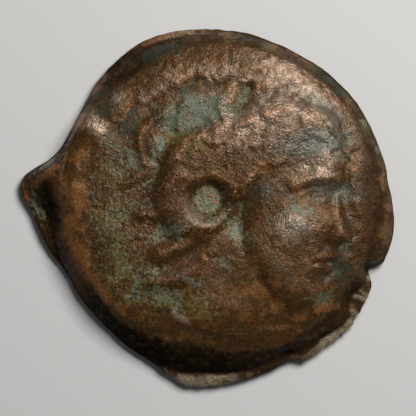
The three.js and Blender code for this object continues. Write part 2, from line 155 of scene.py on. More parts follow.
# The eagle on the underside, seen through from above
EAGLE_HEIGHT = 13.5
EAGLE_CENTRE = (0.2, 0.1)
EAGLE_TAPER = 0.3
BACK_DIE_RADIUS = 9.6
BACK_DIE_SLOPE = 1
BACK_RECESS = 0.4
BACK_FLAT_RADIUS = 9.9
EAGLE = {
    "body": (0.12, 0.42, [(-0.1, 0.34), (0.07, 0.62)]),
    "neck": (0.06, 0.4, [(0.08, 0.62), (0.15, 0.84)]),
    "beak": (0.032, 0.32, [(0.16, 0.86), (0.27, 0.83)]),
    "wing": (0.08, 0.42, [(0.02, 0.64), (-0.28, 0.34)]),
    "tail": (0.06, 0.36, [(-0.14, 0.32), (-0.3, 0.14)]),
    "near leg": (0.045, 0.34, [(0.0, 0.36), (0.06, 0.14)]),
    "far leg": (0.038, 0.3, [(-0.07, 0.32), (-0.07, 0.13)]),
    "thunderbolt": (0.04, 0.32, [(-0.34, 0.07), (0.34, 0.07)]),
}

# Roughness: spread in millimetres, width of its lumps and seed of each layer of noise
LUMPS = [(0.04, 0.8, 11), (0.014, 0.4, 12)]
CRUST = [(0.005, 0.2, 13), (0.0045, 0.11, 14)]
CLUMPS = [(0.022, 0.22, 17)]
BORDER_WOBBLE = [(0.02, 0.5, 41), (0.012, 0.2, 42)]
EDGE_WOBBLE = [(0.035, 0.7, 21), (0.014, 0.2, 22)]
DIMPLE_WOBBLE = [(0.06, 0.5, 24), (0.02, 0.2, 25)]
TORN_TEETH = [(0.07, 0.26, 23), (0.06, 0.12, 26)]
# Pits: depth, width of the noise, seed, and the noise where a pit starts and is full
PITS = [(0.035, 0.16, 15, 1.5, 2.6), (0.08, 0.28, 16, 2.0, 3.0)]
# Flow lines of the strike across the rolled border: height, and where they are, as a fade
FLOW_HEIGHT = 0.014
FLOW_REACH = (75, 65, 65)
WEAR = 0.13
HAIR_WARP = 0.014
EDGE_MARGIN = 0.03
TEETH_MARGIN = 0.04

# Fineness of the mesh and of the grid that the relief is worked out on
CAD_RINGS = 28
FACE_RINGS = 118
BACK_RINGS = 84
BEVEL_BANDS = 22
LEDGE_SHARES = (0.33, 0.66)
GRID_STEP = 0.05
GRID_HALF = 15.5


# The grid, and fields worked out on it
axis = np.arange(-GRID_HALF, GRID_HALF, GRID_STEP)
grid_x, grid_y = np.meshgrid(axis, axis)


def blur(field, sigma):
    fy = np.fft.fftfreq(field.shape[0], GRID_STEP)[:, None]
    fx = np.fft.rfftfreq(field.shape[1], GRID_STEP)[None, :]
    keep = np.exp(-2 * (math.pi * sigma) ** 2 * (fx * fx + fy * fy))
    return np.fft.irfft2(np.fft.rfft2(field) * keep, field.shape)


def noise(sigma, seed):
    """Smooth random field with a spread of 1, its lumps about as wide as sigma."""
    field = blur(np.random.default_rng(seed).standard_normal(grid_x.shape), sigma)
    return field / field.std()


def roughness_of(layers):
    """Layers of noise added up: height, width of the lumps and seed of each."""
    return sum(height * noise(sigma, seed) for height, sigma, seed in layers)


def sample(field, x, y):
    """The field's value at any places, between the grid's points."""
    gx = np.clip((x + GRID_HALF) / GRID_STEP, 0, len(axis) - 1.001)
    gy = np.clip((y + GRID_HALF) / GRID_STEP, 0, len(axis) - 1.001)
    ix, iy = gx.astype(int), gy.astype(int)
    fx, fy = gx - ix, gy - iy
    low = field[iy, ix] * (1 - fx) + field[iy, ix + 1] * fx
    high = field[iy + 1, ix] * (1 - fx) + field[iy + 1, ix + 1] * fx
    return low * (1 - fy) + high * fy


def patches(x, y, places):
    """Strength of a finish from its soft oval places: centre, half sizes, turn, amount."""
    total = np.zeros(x.shape)
    for place in places:
        total = np.maximum(total, mound(x, y, *place))
    return total


def smooth(start, end, value):
    t = np.clip((value - start) / (end - start), 0, 1)
    return t * t * (3 - 2 * t)


def between(start, end, share):
    return start + (end - start) * share


def fade(turn, at, before, after):
    """1 at the given angle, fading to either side."""
    away = (turn - at + 180) % 360 - 180
    return np.exp(-((away / np.where(away < 0, before, after)) ** 2))


def reaches(turn, *flaws):
    return sum(reach * fade(turn, at, before, after) for at, reach, before, after in flaws)


def edge_radius(turn):
    return FLAN_RADIUS + reaches(turn, *EDGE_FLAWS.values())


def bevel_foot(turn):
    return edge_radius(turn) - THIN_LEDGE - reaches(turn, *LEDGES.values())


def border_rise(turn):
    return BORDER["rise"] + reaches(turn, BORDER_HIGHER)


def shoulder_radius(turn):
    t = np.radians(turn)
    cx, cy = TABLE_CENTRE
    across = cx * np.sin(t) - cy * np.cos(t)
    round_table = cx * np.cos(t) + cy * np.sin(t) + np.sqrt(TABLE_RADIUS**2 - across**2)
    table = round_table + reaches(turn, *SHOULDER_FLAWS.values())
    return np.minimum(table, bevel_foot(turn) - LEAST_BEVEL)


def curve(points, closed=False, steps=6):
    """Points along a smooth line through the given ones."""
    p = np.array(points, float)
    if closed:
        p = np.vstack([p[-1:], p, p[:2]])
    else:
        p = np.vstack([2 * p[0] - p[1], p, 2 * p[-1] - p[-2]])
    t = np.linspace(0, 1, steps, endpoint=False)[:, None]
    line = []
    for a, b, c, d in zip(p[:-3], p[1:-2], p[2:-1], p[3:]):
        square, cube = 2 * a - 5 * b + 4 * c - d, 3 * b - a - 3 * c + d
        line.append(0.5 * (2 * b + (c - a) * t + square * t**2 + cube * t**3))
    return np.vstack([*line, p[-2:-1]])


def nearest(u, v, line):
    """Distance to a line, share of the way along it and side, for each place."""
    best = np.full(u.shape, np.inf)
    along = np.zeros(u.shape)
    side = np.ones(u.shape)
    for i, ((au, av), (bu, bv)) in enumerate(zip(line[:-1], line[1:])):
        du, dv = bu - au, bv - av
        t = np.clip(((u - au) * du + (v - av) * dv) / (du * du + dv * dv), 0, 1)
        distance = np.hypot(u - au - t * du, v - av - t * dv)
        closer = distance < best
        best = np.where(closer, distance, best)
        along = np.where(closer, (i + t) / (len(line) - 1), along)
        side = np.where(closer, np.sign(du * (v - av) - dv * (u - au)), side)
    return best, along, side


def depth_inside(u, v, line):
    """Depth inside a closed line, negative outside it."""
    inside = np.zeros(u.shape, bool)
    for (au, av), (bu, bv) in zip(line[:-1], line[1:]):
        crosses = (av > v) != (bv > v)
        if av != bv:
            inside ^= crosses & (u < au + (v - av) / (bv - av) * (bu - au))
    distance = nearest(u, v, line)[0]
    return np.where(inside, distance, -distance)


def swell(depth, width):
    """Height of a worn form that rises from its edge and levels off."""
    return np.sin(np.clip(depth / width, 0, 1) * math.pi / 2)


def blended_max(a, b, blend=EDGE_BLEND):
    share = np.clip(0.5 + 0.5 * (a - b) / blend, 0, 1)
    return b + (a - b) * share + blend * share * (1 - share)


def mound(u, v, cu, cv, half_u, half_v, turn, rise):
    c, s = math.cos(math.radians(turn)), math.sin(math.radians(turn))
    du, dv = u - cu, v - cv
    return rise * np.exp(-(((du * c + dv * s) / half_u) ** 2) - ((dv * c - du * s) / half_v) ** 2)


def limb(u, v, width, rise, path, taper):
    distance, along, _ = nearest(u, v, curve(path))
    return rise * np.exp(-((distance / (width * (1 - taper * along))) ** 2))


def face_form(u, v):
    depth = depth_inside(u, v, curve(FACE["outline"], closed=True))
    height = FACE["rise"] * swell(depth, FACE["edge"])
    for form in FACE_MOUNDS.values():
        height += mound(u, v, *form)
    for width, rise, path in FACE_RIDGES.values():
        height += rise * np.exp(-((nearest(u, v, curve(path))[0] / width) ** 2))
    return height * smooth(0, FACE_EDGE_FADE, depth)


def hair_form(u, v, hair_wear):
    depth = depth_inside(u, v, curve(HAIR["outline"], closed=True))
    du, dv = u - CROWN["at"][0], v - CROWN["at"][1]
    out = np.hypot(du, dv)
    sway = CROWN["sway"] * np.sin(out * CROWN["sways"]) + CROWN["twist"] * out
    strands = CROWN["rise"] * np.cos(np.arctan2(dv, du) * CROWN["strands"] + sway) * hair_wear
    strands *= smooth(0.03, 0.12, out) * smooth(0, 0.02, depth)
    distance, along, side = nearest(u, v, curve(FRINGE["path"]))
    curl = np.cos(along * 2 * math.pi * FRINGE["curls"] + side * distance * FRINGE["curl_slant"])
    fringe = FRINGE["rise"] * np.exp(-((distance / FRINGE["width"]) ** 2))
    fringe *= 1 - FRINGE["curl_share"] * (1 - curl)
    return HAIR["rise"] * swell(depth, HAIR["edge"]) + strands + fringe * smooth(-0.02, 0, depth)


def leaf_form(u, v):
    """All the leaves of the wreath together, 1 at the middle of each."""
    stem = curve(WREATH["stem"], steps=20)
    shape = np.zeros(u.shape)
    for pair in range(WREATH["pairs"]):
        i = int((pair + 0.3) / WREATH["pairs"] * (len(stem) - 1))
        heading = math.atan2(*(stem[i + 1] - stem[i])[::-1])
        for turn in WREATH["turns"]:
            c, s = math.cos(heading + math.radians(turn)), math.sin(heading + math.radians(turn))
            along = ((u - stem[i][0]) * c + (v - stem[i][1]) * s) / WREATH["length"]
            across = ((v - stem[i][1]) * c - (u - stem[i][0]) * s) / WREATH["width"]
            half = np.sqrt(np.clip(along * (1 - along), 0, 1)) * 2 * (1 - 0.35 * along)
            form = np.sqrt(np.clip(1 - (across / np.maximum(half, 0.02)) ** 2, 0, 1))
            vein = 1 - 0.3 * np.exp(-((across / 0.12) ** 2))
            shape = np.maximum(shape, form * vein * (half > 0.02))
    return shape


def head_relief(x, y):
    c, s = math.cos(math.radians(HEAD_TILT)), math.sin(math.radians(HEAD_TILT))
    dx, dy = x - HEAD_CENTRE[0], y - HEAD_CENTRE[1]
    u = (dx * c + dy * s) / HEAD_HEIGHT
    v = (dy * c - dx * s) / HEAD_HEIGHT + 0.5
    neck_depth = depth_inside(u, v, curve(NECK["outline"], closed=True))
    neck = NECK["rise"] * swell(neck_depth, NECK["edge"])
    height = blended_max(face_form(u, v), neck)
    warp_u, warp_v = sample(noise(0.7, 51), x, y), sample(noise(0.7, 52), x, y)
    hair_wear = np.clip(1 + 0.6 * sample(noise(0.5, 53), x, y), 0.2, 1.8)
    hair = hair_form(u + HAIR_WARP * warp_u, v + HAIR_WARP * warp_v, hair_wear)
    height = blended_max(height, hair)
    shape = leaf_form(u, v)
    on_hair = WREATH["rise"] * np.minimum(1, height / HAIR["rise"])
    height = blended_max(height + on_hair * shape, 2 * WREATH["rise"] * shape)
    for lock in LOCKS.values():
        height = blended_max(height, limb(u, v, *lock, taper=LOCK_TAPER))
    return height


grid_turn = np.degrees(np.arctan2(grid_y, grid_x)) % 360
table_out = np.hypot(grid_x, grid_y) / shoulder_radius(grid_turn)
struck = 1 - smooth(0.9, 1, table_out)
on_table = table_out < 1.01
relief = np.zeros(grid_x.shape)
relief[on_table] = head_relief(grid_x[on_table], grid_y[on_table])
broader = reaches(grid_turn, *BORDER_BROADER.values())
start = BORDER["inside"] + roughness_of(BORDER_WOBBLE) - broader
roll = border_rise(grid_turn) * smooth(start - BORDER["ramp"], start + BORDER["ramp"], table_out)
relief = blended_max(relief * struck, roll, 2 * EDGE_BLEND)

# Wear rounds the relief, then lumps, pits and fine grain roughen it
SMOOTH_PLACES = [
    (7.4, 8.8, 4.0, 1.2, -42, 0.6), (4.6, -7.2, 5.4, 3.4, 15, 0.8), (-9.8, 0.0, 1.0, 7.0, 0, 0.4),
]
CLUMPED_PLACES = [
    (2.6, 4.6, 5.2, 3.8, -10, 1.15), (-7.5, 5.5, 2.0, 2.5, 0, 0.6),
    (2.0, 9.4, 6.5, 1.6, -12, 0.8), (-9.5, 7.5, 2.0, 3.0, -40, 0.8),
]
GRAINY_PLACES = [(3.0, 5.8, 6.5, 4.6, -15, 1.0), (-6.5, 0.0, 2.5, 6.0, 0, 0.5)]
marks = sum(mound(grid_x, grid_y, *mark) for mark in MARKS)
relief = blur(relief, WEAR) + marks
grain = 1 + patches(grid_x, grid_y, GRAINY_PLACES) - patches(grid_x, grid_y, SMOOTH_PLACES)
lumps = roughness_of(LUMPS)
clumps = roughness_of(CLUMPS) * patches(grid_x, grid_y, CLUMPED_PLACES)
crust = roughness_of(CRUST)
pits = -sum(depth * smooth(low, full, noise(sigma, seed)) for depth, sigma, seed, low, full in PITS)
surface = relief + lumps + clumps + (crust + pits) * grain
grid_out = np.hypot(grid_x, grid_y)
# The lines are noise stretched along the radius, looked up by angle and distance
flow_turn = (grid_turn % 110) * 0.22 - 12 + 0.12 * noise(0.9, 19)
flow_out = 0.55 * grid_out + 0.12 * noise(0.7, 20)
flow_lines = FLOW_HEIGHT * sample(noise(0.16, 18), flow_turn, flow_out)
flow_lines *= smooth(7.5, 9.5, grid_out) * smooth(1.02, 0.95, table_out)
flow_lines *= fade(grid_turn, *FLOW_REACH)
surface += flow_lines
side_bumps = 1.2 * lumps + 2.6 * crust + 0.7 * pits
rim_bumps = lumps + 1.6 * crust
ledge_bumps = rim_bumps + 0.6 * pits
# Where the surface lies lower than its surroundings, and where it stands out finely from them
worn = relief + lumps + clumps + flow_lines + crust * grain
hollowness = np.clip((blur(worn, 0.6) - worn) / 0.18, 0, 1)
crests = np.clip((worn - blur(worn, 0.3)) / 0.045, 0, 1)

positions = []
triangles = []


def ring(count, radius_at, height_at):
    """One ring of points round the flan's centre; returns their numbers."""
    first = sum(len(p) for p in positions)
    turn = np.arange(count) * 360 / count
    radius = radius_at(turn)
    x, y = radius * np.cos(np.radians(turn)), radius * np.sin(np.radians(turn))
    positions.append(np.stack([x, y, height_at(x, y, turn)], axis=1))
    return list(range(first, first + count))


def stitch(inner, outer, face_up=True):
    """Triangles between two rings, the outer one with as many points or more."""
    i = o = 0
    n, m = len(inner), len(outer)
    while o < m or (n > 1 and i < n):
        if o < m and (n == 1 or (o + 1) * n <= (i + 1) * m):
            new = (inner[i % n], outer[o], outer[(o + 1) % m])
            o += 1
        else:
            new = (inner[i], outer[o % m], inner[(i + 1) % n])
            i += 1
        triangles.append(new if face_up else new[::-1])


def disc(rings, dimple, edge_at, height_at, face_up):
    """Rings that keep to the dimple first, then spread out to the given edge."""
    mouth = dimple["mouth"]
    pressed = max(3, round(rings * mouth / TABLE_RADIUS))
    inner = ring(1, lambda turn: turn * 0, height_at)
    for i in range(1, rings + 1):
        within = min(1, i / pressed)
        beyond = max(0, (i - pressed) / (rings - pressed))

        def radius_at(turn):
            return mouth * within + (edge_at(turn) - mouth) * beyond

        outer = ring(6 * i, radius_at, height_at)
        stitch(inner, outer, face_up)
        inner = outer
    return inner


def dimple_share(x, y):
    """0 at the dimple's mouth to 1 on its floor, which lies a little higher on the face."""
    ragged = sample(dimple_wobble, x, y)
    to_mouth = np.maximum(0, DIMPLE["mouth"] + ragged - np.hypot(x, y))
    to_floor = np.maximum(0, np.hypot(x, y - DIMPLE_LEAN) - DIMPLE["floor"] - ragged)
    return to_mouth / np.maximum(to_mouth + to_floor, 1e-6)


def table_height(x, y, turn):
    out = np.hypot(x, y) / shoulder_radius(turn)
    height = FIELD_HEIGHT - TABLE_SAG * np.minimum(out, 1) ** SAG_POWER + sample(surface, x, y)
    floor = FIELD_HEIGHT + HAIR["rise"] - DIMPLE["depth"] + 0.6 * sample(crust, x, y)
    pressed = dimple_share(x, y) ** DIMPLE["flare"]
    pressed = pressed - 0.3 * pressed**6 * (1 - pressed)
    return height * (1 - pressed) + floor * pressed


def bevel_height(share, turn):
    """The side falls gently from the shoulder, then more steeply to the ledge."""
    shoulder = FIELD_HEIGHT - TABLE_SAG + border_rise(turn)
    fall = EVEN_FALL * share + (1 - EVEN_FALL) * share**2
    ridge_at = STUB_RIDGE["at"] + STUB_RIDGE["lean"] * share
    ridge = reaches(turn, (ridge_at, STUB_RIDGE["reach"], STUB_RIDGE["fades"], STUB_RIDGE["fades"]))
    return shoulder + (LEDGE_HEIGHT - shoulder) * fall + ridge * math.sin(math.pi * share)


def back_height(x, y, turn):
    out = np.hypot(x, y)
    recess = BACK_RECESS * smooth(BACK_DIE_RADIUS, BACK_DIE_RADIUS - BACK_DIE_SLOPE, out)
    dimple = BACK_DIMPLE["depth"] * smooth(BACK_DIMPLE["mouth"], BACK_DIMPLE["floor"], out)
    rough = 0.5 * sample(lumps + crust, -x, y)
    return np.maximum(0, recess - sample(eagle, x, y) + rough * np.minimum(1, recess * 4)) + dimple


eagle = np.zeros(grid_x.shape)
in_die = grid_out < BACK_DIE_RADIUS
eagle_u = (grid_x[in_die] - EAGLE_CENTRE[0]) / EAGLE_HEIGHT
eagle_v = (grid_y[in_die] - EAGLE_CENTRE[1]) / EAGLE_HEIGHT + 0.5
for part in EAGLE.values():
    eagle[in_die] = np.maximum(eagle[in_die], limb(eagle_u, eagle_v, *part, taper=EAGLE_TAPER))

wobble = roughness_of(EDGE_WOBBLE)
dimple_wobble = roughness_of(DIMPLE_WOBBLE)
teeth = roughness_of(TORN_TEETH)


def rough_edge(turn):
    """The edge as broken and worn, kept within the smooth one."""
    x, y = FLAN_RADIUS * np.cos(np.radians(turn)), FLAN_RADIUS * np.sin(np.radians(turn))
    torn = np.clip(reaches(turn, *TORN_EDGES), 0, 1)
    worn = edge_radius(turn) + sample(wobble, x, y) - EDGE_MARGIN
    return worn + torn * (sample(teeth, x, y) - TEETH_MARGIN)


rim_profile = curve(
    [
        (-RIM["lip"], LEDGE_HEIGHT - LEDGE_FALL),
        (0, RIM["bulge_height"]),
        (-RIM["low_inset"], RIM["low_height"]),
        (-RIM["rounding"], 0),
    ],
    steps=3,
)


def side_rings():
    """Radius and height of each ring down the bevel, across the ledge and round the rim."""
    for share in np.arange(1, BEVEL_BANDS + 1) / BEVEL_BANDS:
        bumps = side_bumps + (1 - share) * marks
        yield (
            lambda turn: between(shoulder_radius(turn), bevel_foot(turn), share),
            lambda x, y, turn: bevel_height(share, turn) + sample(bumps, x, y),
        )
    for share in LEDGE_SHARES:
        yield (
            lambda turn: between(bevel_foot(turn), rough_edge(turn) - RIM["lip"], share),
            lambda x, y, turn: LEDGE_HEIGHT - LEDGE_FALL * share + sample(ledge_bumps, x, y),
        )
    for inset, height in rim_profile:
        roughened = min(1, height / 0.5)
        yield (
            lambda turn: rough_edge(turn) + inset,
            lambda x, y, turn: np.maximum(0, height + sample(rim_bumps, x, y) * roughened),
        )


band = disc(FACE_RINGS, DIMPLE, shoulder_radius, table_height, face_up=True)
for radius_at, height_at in side_rings():
    next_band = ring(6 * FACE_RINGS, radius_at, height_at)
    stitch(band, next_band)
    band = next_band
back_edge = disc(
    BACK_RINGS, BACK_DIMPLE, lambda turn: turn * 0 + BACK_FLAT_RADIUS, back_height, face_up=False
)
stitch(back_edge, band, face_up=False)

# The solid's origin is the middle of its outline, which has these points
points = np.vstack(positions)
cad_turns = np.arange(6 * CAD_RINGS) * 360 / (6 * CAD_RINGS)
cad_edge = edge_radius(cad_turns)
edge_x, edge_y = cad_edge * np.cos(np.radians(cad_turns)), cad_edge * np.sin(np.radians(cad_turns))
middle = np.array([(edge_x.min() + edge_x.max()) / 2, (edge_y.min() + edge_y.max()) / 2, 0])

mesh = bpy.data.meshes.new("coin_fine")
mesh.from_pydata(((points - middle) * MM).tolist(), [], triangles)
mesh.update()
mesh.polygons.foreach_set("use_smooth", [True] * len(mesh.polygons))
coin = bpy.data.objects.new("coin_fine", mesh)
bpy.context.collection.objects.link(coin)

# Finishes of the face: places in millimetres from the flan's centre, half sizes, turn, amount
GREEN = [
    (-6.8, -0.8, 2.6, 7.4, 4, 0.57), (-0.9, 6.6, 2.8, 1.6, 12, 1.05),
    (-3.8, 3.9, 0.6, 1.3, -10, 0.85), (-2.6, -2.2, 2.2, 0.8, 25, 0.8),
    (-3.9, -6.4, 2.8, 1.4, -38, 0.8), (6.4, -1.2, 1.8, 1.6, 0, 0.7),
    (1.6, -2.0, 2.0, 1.1, -25, 0.65), (8.6, 3.4, 2.8, 0.9, 15, 0.6),
    (10.2, -3.1, 0.6, 0.4, 0, 0.9), (8.2, -7.1, 1.3, 0.6, 20, 0.8),
    (9.2, -5.2, 0.5, 1.6, 15, 0.6), (2.6, 8.2, 0.6, 1.0, 0, 0.5), (4.4, 5.6, 1.2, 0.8, 20, 0.4),
    (-12.1, 2.85, 1.3, 0.25, 38, 1.2), (-12.75, -0.3, 1.6, 0.45, -68, 1.2),
    (-0.6, -7.3, 1.2, 1.5, 30, 0.62),
]
TEAL = [
    (9.8, -4.9, 1.4, 2.6, 20, 0.75), (8.2, -7.0, 1.4, 0.8, 20, 0.6),
    (10.6, -0.6, 0.9, 1.4, 0, 0.4), (-5.6, 5.4, 1.2, 1.8, 0, 0.7), (-2.0, 8.2, 2.2, 0.7, 15, 0.6),
    (-7.6, 7.2, 1.6, 1.1, 40, 0.75), (4.4, 1.0, 1.6, 0.7, 0, 0.5),
]
# Worn bare bronze, with painted highlight on the forms that face the lamp
BARE_AND_HIGHLIGHT = [
    (6.6, 7.8, 4.2, 2.2, -42, 1.0), (0.6, 9.3, 4.6, 1.1, -2, 0.8), (8.4, 2.8, 2.8, 1.2, 15, 1.0),
    (6.3, -1.9, 1.8, 1.3, 0, 1.0), (3.0, 6.4, 4.0, 2.6, -10, 1.2), (-4.2, 7.9, 1.8, 0.8, 40, 0.7),
    (-8.6, 6.2, 1.6, 0.8, -58, 1.2), (-6.6, 7.9, 0.8, 0.5, 45, 0.8),
    (11.6, -6.6, 0.25, 0.8, -20, 1.0),
]
VERDIGRIS = [
    (-1.1, 6.8, 2.6, 1.3, 12, 1.15), (-3.8, 3.9, 0.5, 1.2, -10, 0.9),
    (-5.4, 2.8, 0.9, 2.0, 0, 0.6), (-2.6, -2.2, 2.0, 0.8, 25, 1.0),
    (1.6, -2.0, 1.6, 0.8, -25, 0.7), (8.6, 3.4, 2.6, 0.7, 15, 0.6),
    (9.2, -5.2, 0.5, 1.6, 15, 0.6), (8.2, -7.0, 1.2, 0.5, 20, 0.45),
    (-3.2, -2.6, 1.0, 0.6, 0, 0.7), (-7.4, -2.6, 1.4, 3.2, 8, 0.42),
    (-1.8, -5.6, 2.4, 0.4, -29, 0.85), (1.4, -4.7, 1.0, 0.45, -40, 0.75),
    (3.1, -2.5, 0.9, 1.0, 0, 0.75), (-5.4, -7.0, 1.2, 0.8, -30, 0.6),
    (6.6, -0.6, 1.4, 0.8, 10, 0.6),
]
RUST = [
    (-9.6, -1.5, 1.1, 6.5, 0, 0.95), (-8.9, 4.0, 0.9, 1.8, -10, 0.8),
    (-12.2, 2.0, 1.7, 0.4, 37, 1.2), (-13.6, 0.8, 1.0, 0.3, -75, 1.0),
    (-5.0, 4.5, 0.5, 2.4, -15, 0.7), (4.5, -6.8, 4.4, 2.6, 20, 0.5),
    (8.6, -7.6, 0.8, 0.5, 30, 0.9), (-2.0, -10.0, 5.0, 0.5, -8, 0.7),
]
SOOT = [
    (-11.8, 0.4, 2.0, 0.6, -70, 0.8), (-4.5, 0.9, 0.6, 1.8, -10, 0.5),
    (-4.6, 4.8, 0.6, 1.8, -25, 0.45), (9.6, -4.4, 1.2, 2.0, 15, 0.55),
    (11.9, 1.0, 0.7, 4.5, 0, 0.5),
]
OLIVE = [
    (-1.1, -7.1, 1.4, 0.9, -35, 1.1), (-0.3, -8.1, 0.9, 1.1, 20, 1.0),
    (10.0, -3.4, 0.5, 0.5, 0, 0.8), (-7.2, -1.6, 2.2, 6.4, 8, 0.85),
    (-3.6, -7.2, 3.2, 2.0, -30, 0.75), (-1.0, 4.6, 1.6, 1.4, 0, 0.7),
    (3.6, -5.0, 3.0, 2.2, 0, 0.35),
]
RUSSET = [
    (-2.7, 0.2, 2.0, 1.9, 0, 0.9), (-2.3, -4.8, 1.8, 1.9, 0, 1.0),
    (-5.0, 3.2, 0.7, 2.0, -20, 0.7), (4.6, 1.6, 1.4, 0.8, 20, 0.6),
    (10.3, -2.4, 0.8, 1.0, 0, 0.6),
]
# Grey patina, with painted sheen on the brow and the upper right roll, which face the lamp
SLATE_AND_SHEEN = [
    (8.0, 4.5, 3.2, 1.3, 12, 1.0), (4.8, 7.8, 1.8, 0.7, 0, 0.5), (9.4, 0.9, 2.4, 0.9, -5, 0.8),
    (8.8, 7.0, 2.6, 0.9, -48, 0.7), (6.8, 8.2, 2.4, 1.0, -38, 0.45), (4.2, 1.0, 1.8, 1.0, 0, 0.5),
    (6.4, -1.6, 1.8, 1.0, 0, 0.5), (-6.6, 3.6, 1.2, 2.4, 0, 0.5),
]
FRONT_OF_HEAD = [(4.0, 0.0, 7.0, 8.0, 0, 1.0)]
TOP_OF_HEAD = [(3.0, 5.0, 7.0, 6.5, 0, 1.0)]
BEHIND_HEAD = [(-1.4, 6.8, 2.2, 1.5, 10, 1.0)]
PALE_SCAR = (*SCAR[:5], 0.845)
# Finishes of the sloping side: degrees and distance from the middle, half sizes, turn, amount
SIDE_TEAL = [
    (108, 11.8, 12, 0.55, 0, 1.1), (133, 11.4, 5, 0.6, 0, 0.7), (44, 12.8, 7, 0.5, 0, 1.1),
    (24, 12.6, 4, 0.4, 0, 1.0), (76, 12.7, 8, 0.25, 0, 0.7), (120, 12.2, 3, 0.3, 0, 0.8),
]
SIDE_RUST = [
    (130, 12.1, 9, 0.5, 0, 1.2), (33, 12.9, 4, 0.5, 0, 1.2), (10, 13.0, 8, 0.5, 0, 0.9),
    (354, 13.5, 8, 0.4, 0, 0.9), (105, 12.9, 18, 0.25, 0, 1.0), (148, 11.3, 4, 0.6, 0, 0.9),
    (62, 12.9, 10, 0.25, 0, 0.9), (115, 11.9, 2, 0.2, 0, 0.7), (98, 12.2, 2, 0.2, 0, 0.7),
]
SIDE_GREEN = [(27, 13.2, 3, 0.4, 0, 1.0), (17, 13.4, 2, 0.3, 0, 0.8), (103, 12.2, 4, 0.3, 0, 0.6)]
# Finishes round the side: degrees, amount, fade before and after
# The soot ring is soot and painted shade: strongest along the lower left side, which faces away
# from the lamp
SOOT_AND_SHADE_RING = [(245, 1, 52, 66), (122, 0.7, 22, 12), (45, 0.55, 10, 12), (5, 0.2, 40, 25)]
PALE_LEDGE = [(266, 1, 10, 16)]
PALE_EDGE = [(98, 0.6, 12, 14), (312, 1, 12, 12)]
PALE_STREAKS = [(330, 1, 7, 6)]

# Which part of the coin each point lies on, from its place in the order of the rings
x, y, z = points.T
turn = np.degrees(np.arctan2(y, x)) % 360
from_centre = np.hypot(x, y)
face_end = 1 + 3 * FACE_RINGS * (FACE_RINGS + 1)
side_end = len(points) - (1 + 3 * BACK_RINGS * (BACK_RINGS + 1))
order = np.arange(len(points))
on_face = (order < face_end).astype(float)
on_back = (order >= side_end).astype(float)
on_side = 1 - on_face - on_back
on_ledge = on_side * smooth(-0.1, 0.25, from_centre - bevel_foot(turn)) * (z > 0.5)
near_edge = on_side * smooth(0.7, 0.4, edge_radius(turn) - from_centre) * (z > 0.5)
not_steep = on_face + on_back + on_side * smooth(0.8, 1.2, z)

# Uneven strength, and lines that run outwards
blotch = sample(noise(0.45, 31), x, y) * not_steep
speck = sample(noise(0.12, 32), x, y) * not_steep
mottled = 0.8 + 0.35 * sample(noise(0.3, 38), x, y) + 0.2 * speck
streak = sample(noise(0.13, 35), (turn % 100) * 0.25 - 12, 0.4 * from_centre)
frayed = 0.05 * sample(noise(0.14, 33), x, y) + 0.05 * sample(noise(0.9, 34), x, y)

# Masks of the forms
deep = sample(hollowness, x, y) * on_face
crest = sample(crests, x, y) * on_face
in_dimple = dimple_share(x, y) * on_face
dimple_floor = smooth(0.68, 1, in_dimple)
dimple_wall = smooth(0, 0.3, in_dimple) * (1 - dimple_floor)
# Painted shade on the dimple's upper right wall, which faces away from the lamp
painted_lee_shade = dimple_wall * fade(turn, 50, 75, 60) * smooth(0.1, 0.7, in_dimple)
past_shoulder = from_centre - shoulder_radius(turn)
shoulder_line = np.exp(-(((past_shoulder + 0.3) / 0.4) ** 2)) * fade(turn, 215, 60, 62)
down_side = past_shoulder / np.maximum(0.8, bevel_foot(turn) - shoulder_radius(turn)) + frayed
